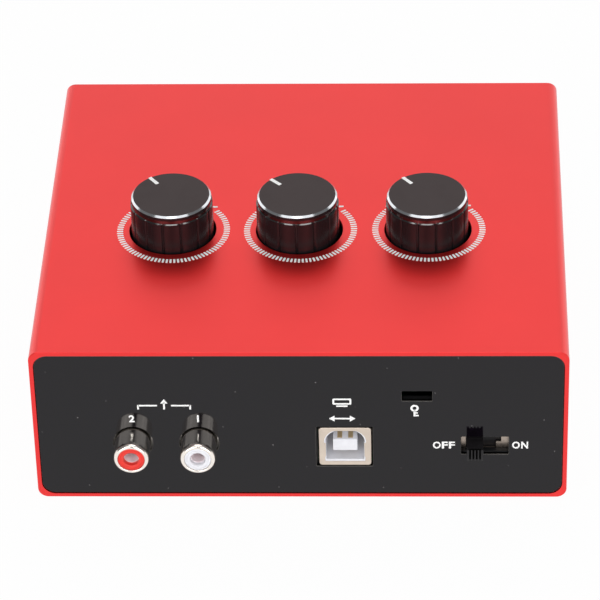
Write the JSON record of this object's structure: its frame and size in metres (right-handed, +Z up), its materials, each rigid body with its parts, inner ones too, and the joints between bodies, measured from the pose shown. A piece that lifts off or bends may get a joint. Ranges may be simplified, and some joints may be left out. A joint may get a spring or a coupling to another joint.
{
  "type": "audio interface",
  "caption": "Desktop audio interface: red tube-shaped case, glossy black end plates, fluted control knobs, phono and USB sockets with a slide switch behind, and input sockets in front.",
  "frame": {"origin": "middle of the case on the plane that the feet stand on", "axes": "+X to the right along the rear panel as seen from behind, +Y from the rear panel to the front panel, +Z up"},
  "size_m": [0.123, 0.1228, 0.0535],
  "materials": {
    "case_red": "satin red paint",
    "panel_black": "glossy black with white print",
    "plate_steel": "plain steel",
    "foot_rubber": "matt rubber",
    "board_green": "solder mask",
    "spacer_brass": "turned brass",
    "black_plastic": "moulded",
    "contact_gold": "gold plated",
    "can_aluminium": "drawn",
    "knob_black": "glossy black",
    "cap_black": "spun, black anodised, with a bright cut edge",
    "shaft_metal": "turned",
    "pot_green": "moulded",
    "tinned_metal": "tinned",
    "plated_metal": "bright nickel plate",
    "insert_red": "moulded",
    "insert_white": "moulded",
    "socket_steel": "tin plated sheet",
    "phenolic_brown": "laminate",
    "button_grey": "moulded",
    "light_green": "clear tinted"
  },
  "bodies": {
    "chassis": {"case_sleeve": "case_red", "rear_faceplate": "panel_black", "front_faceplate": "panel_black", "rear_plate": "plate_steel", "front_plate": "plate_steel", "rear_plate_screws": "plate_steel", "front_plate_screws": "plate_steel", "spacer_screws": "plate_steel", "rubber_feet": "foot_rubber", "main_board": "board_green", "control_board": "board_green", "board_spacers": "spacer_brass", "link_socket": "black_plastic", "link_header": "black_plastic", "audio_chip": "black_plastic", "converter_chip": "black_plastic", "rca_housing": "black_plastic", "combo_jack_body": "black_plastic", "instrument_jack": "black_plastic", "phones_jack": "black_plastic", "phantom_switch": "black_plastic", "link_pins": "contact_gold", "usb_contacts": "contact_gold", "combo_jack_contacts": "contact_gold", "jack_contacts": "contact_gold", "clock_crystal": "can_aluminium", "capacitors": "can_aluminium", "pot_housing_left": "pot_green", "pot_housing_middle": "pot_green", "pot_housing_right": "pot_green", "pot_terminals": "tinned_metal", "switch_terminals": "tinned_metal", "led_leads": "tinned_metal", "rca_contacts": "tinned_metal", "rca_shell_left": "plated_metal", "rca_shell_right": "plated_metal", "jack_nuts": "plated_metal", "jack_washers": "plated_metal", "rca_insert_left": "insert_red", "rca_insert_right": "insert_white", "usb_insulator": "insert_white", "usb_shell": "socket_steel", "switch_frame": "socket_steel", "switch_base": "phenolic_brown", "status_leds": "light_green"},
    "left_knob": {"knob_left": "knob_black", "knob_cap_left": "cap_black", "pot_shaft_left": "shaft_metal"},
    "middle_knob": {"knob_middle": "knob_black", "knob_cap_middle": "cap_black", "pot_shaft_middle": "shaft_metal"},
    "right_knob": {"knob_right": "knob_black", "knob_cap_right": "cap_black", "pot_shaft_right": "shaft_metal"},
    "power_slider": {"switch_slider": "black_plastic", "switch_wiper": "contact_gold"},
    "phantom_push": {"phantom_button": "button_grey", "phantom_plunger": "black_plastic"}
  },
  "joints": [
    {"name": "left_knob_turn", "type": "hinge", "parent": "chassis", "child": "left_knob", "pos_m": [-0.0311, -0.0076, 0.0435], "axis": [0, 0, 1], "range_deg": [0, 280]},
    {"name": "middle_knob_turn", "type": "hinge", "parent": "chassis", "child": "middle_knob", "pos_m": [-0.00135, -0.0076, 0.0435], "axis": [0, 0, 1], "range_deg": [0, 280]},
    {"name": "right_knob_turn", "type": "hinge", "parent": "chassis", "child": "right_knob", "pos_m": [0.0292, -0.0076, 0.0435], "axis": [0, 0, 1], "range_deg": [0, 280]},
    {"name": "power_switch_slide", "type": "slide", "parent": "chassis", "child": "power_slider", "axis": [1, 0, 0], "range_m": [0, 0.004]},
    {"name": "phantom_button_press", "type": "slide", "parent": "chassis", "child": "phantom_push", "axis": [0, -1, 0], "range_m": [0, 0.0015], "stiffness_N_per_m": 400}
  ]
}
